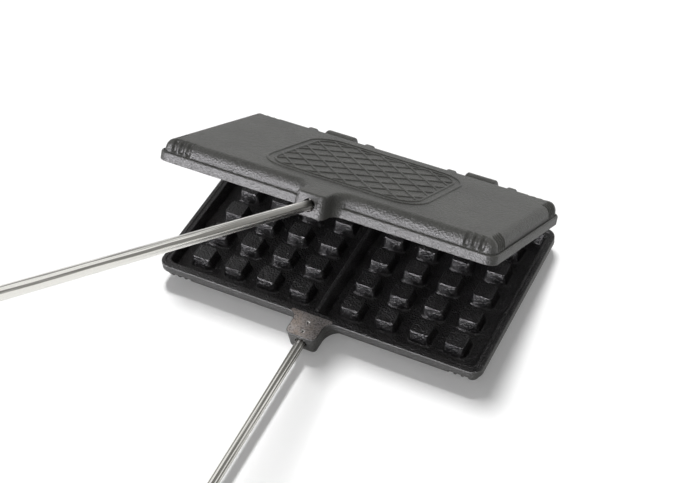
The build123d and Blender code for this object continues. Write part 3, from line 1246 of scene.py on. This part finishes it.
# %% Ferrules and grips
grip_length = 127.0
grip_neck = 8.2
neck_gap = 0.1
grip_steps = 40
grip_shoulder = 9.6
grip_belly = 12.7
grip_tail = 10.8
grip_round = 3.0
ferrule_length = 16.0
ferrule_wall = 0.7
ferrule_gap = 0.02
ferrule_rings = (5.0, 10.0)
ferrule_radius = grip_neck + ferrule_gap + ferrule_wall
seat_gap = 0.4
seat_steps = [(0.0, -0.7), (0.2, -0.25)]
soft_share = 0.6
grip_seat = rod_reach + ferrule_length + seat_gap
grip_middle = rod_reach + grip_length / 2
grip_end = rod_reach + grip_length


def belly(along):
    """The grip's radius at a point along it: two flat arcs that meet at the middle."""
    reach, drop = grip_middle - grip_seat, grip_belly - grip_shoulder
    if along > grip_middle:
        reach, drop = grip_end - grip_middle, grip_belly - grip_tail
    sweep = (reach**2 + drop**2) / (2 * drop)
    return grip_belly - sweep + math.sqrt(sweep**2 - (along - grip_middle) ** 2)


for half, lathe in lathes.items():
    cup = rounded_end(rod_reach, ferrule_radius, ferrule_wall, 1)
    cup += [(rod_reach + ring, ferrule_radius) for ring in ferrule_rings]
    cup += rounded_end(rod_reach + ferrule_length, ferrule_radius, ferrule_wall * soft_share, -1)
    turned_piece(f"{half}_cup", cup, drawn_steel, lathe, half, f"{half}_ferrule")

    wood = [(along, grip_neck - neck_gap) for along in (rod_reach + ferrule_wall, grip_seat)]
    wood += [(grip_seat + along, grip_shoulder + growth) for along, growth in seat_steps]
    for along in spaced(grip_seat, grip_end - grip_round, grip_steps)[1:]:
        wood.append((along, belly(along)))
    wood += rounded_end(grip_end, belly(grip_end - grip_round), grip_round, -1)[1:]
    turned_piece(f"{half}_turned_grip", wood, turned_wood, lathe, half, f"{half}_grip")

# %% [markdown]
# Each hinge pin goes through two ears and the lug between them, and has a low round head outside. The
# hollow spring pins and the ferrules' cross pins are right as they came, and only get the pins' steel.

# %% The pins
inner_ear, outer_ear = 26.8, 75.6
head_radius, head_height = 3.8, 1.2
pin_soft = 0.3
pin_sides = 40
for name, side in (("left", -1), ("right", 1)):
    profile = rounded_end(inner_ear, pin_radius, pin_soft, 1)
    profile += [(outer_ear, pin_radius), (outer_ear, head_radius)]
    profile += rounded_end(outer_ear + head_height, head_radius, head_height * soft_share, -1)
    lathe = Matrix.Translation(hinge_place * MM) @ Matrix.Scale(MM, 4)
    lathe = lathe @ Matrix.Rotation(side * math.pi / 2, 4, "Y")
    hidden = f"{name}_hinge_pin"
    turned_piece(f"{name}_headed_pin", profile, pin_steel, lathe, "upper", hidden, sides=pin_sides)

for name, node in frame["nodes"].items():
    if name.endswith(("spring_pin", "ferrule_pin")):
        for slot in node.material_slots:
            slot.material = pin_steel
        print(name, "keeps its solid")

# %% [markdown]
# The iron lies on a white table under a white sky. Where the camera or a mirror sees them, both count as
# plain white. To everything else the sky is a soft light, and the table keeps the shadows that fall on it.

# %% The table and the sky
sky_level = 0.25
table_lift = 0.15


def seen_directly(finish):
    """1 for rays from the camera, or by way of a mirror or glass, and 0 for diffuse light."""
    kinds = ("Camera", "Glossy", "Transmission")
    rays = [finish.node("ShaderNodeLightPath", output=f"Is {kind} Ray") for kind in kinds]
    return (rays[0] + rays[1] + rays[2]).clamped()


sky = Finish(bpy.data.worlds.new("sky"))
strength = seen_directly(sky) * (1 - sky_level) + sky_level
backdrop = sky.node("ShaderNodeBackground", {"Color": (1.0, 1.0, 1.0), "Strength": strength})
bpy.context.scene.world = sky.close(backdrop, "ShaderNodeOutputWorld")

table_top = Finish(bpy.data.materials.new("table_top"))
matt = table_top.node("ShaderNodeBsdfDiffuse", {"Color": (0.86, 0.86, 0.86)})
lift = table_top.node("ShaderNodeEmission", {"Strength": seen_directly(table_top) * table_lift})
both = table_top.node("ShaderNodeAddShader", {0: matt, 1: lift})
table_finish = table_top.close(both, "ShaderNodeOutputMaterial")

table_half = 6.0
level = cad_low.z
signs = ((-1, -1), (1, -1), (1, 1), (-1, 1))
corners = [(x * table_half, y * table_half, level) for x, y in signs]
table_mesh = bpy.data.meshes.new("table")
table_mesh.from_pydata(corners, [], [(0, 1, 2, 3)])
table_mesh.materials.append(table_finish)
table = new_object("table", table_mesh)
print("table at", round(level * 1000, 2), "mm")

# %% [markdown]
# A high sun from behind throws the soft shadow to the front and a little to the right. A softbox stands low
# in front on the left, with a long strip below it. These two only show in reflections: they are what the
# castings' edges and grain glint with.

# %% The lamps
middle = places["lower"].translation


def add_lamp(name, kind, offset, power):
    """A lamp at an offset in metres from the plates, turned to them."""
    lamp = bpy.data.lights.new(name, kind)
    lamp.energy = power
    holder = new_object(name, lamp)
    holder.location = middle + Vector(offset)
    holder.rotation_euler = (-Vector(offset)).to_track_quat("-Z", "Y").to_euler()
    print(name, kind, power)
    return holder


sun = add_lamp("sun", "SUN", offset=(-0.27, 0.66, 1.9), power=2.8)
sun.data.angle = math.radians(11)
sun.visible_glossy = False
softbox = add_lamp("softbox", "AREA", offset=(-0.66, -1.55, 0.82), power=145)
softbox.data.size = 1.1
strip = add_lamp("strip", "AREA", offset=(-0.5, -1.4, 0.13), power=38)
strip.data.shape = "RECTANGLE"
strip.data.size = 1.5
strip.data.size_y = 0.22
for lamp in (softbox, strip):
    lamp.data.color = (0.97, 0.95, 1.0)
    lamp.visible_diffuse = False

# %% [markdown]
# The camera's place was fitted to the photograph by the rows of studs and the rims. It is given in the
# lower half's own plane, with x to the right, y to the back and z up from the inner face.

# %% The camera
level_place = places["lower"] @ Matrix.Rotation(math.pi, 4, "Y")
camera_place = Vector((330.42, -574.49, 725.73))
camera_right = Vector((0.89262, 0.446908, -0.059176))
camera_down = Vector((0.294135, -0.676836, -0.674816))
camera_back = camera_right.cross(-camera_down)
lens = bpy.data.cameras.new("camera")
lens.lens = 79.54
lens.sensor_width = 36.0
camera = new_object("camera", lens)
bpy.context.scene.camera = camera
turn = matrix_of(camera_right, -camera_down, camera_back)
attitude = level_place.to_3x3().normalized() @ turn
camera.matrix_world = Matrix.Translation(level_place @ camera_place) @ attitude.to_4x4()
print("camera at", [round(v, 3) for v in camera.location])

# %% [markdown]
# Last, the looks are set to the plain Standard transform.

# %% The look
bpy.context.scene.view_settings.view_transform = "Standard"
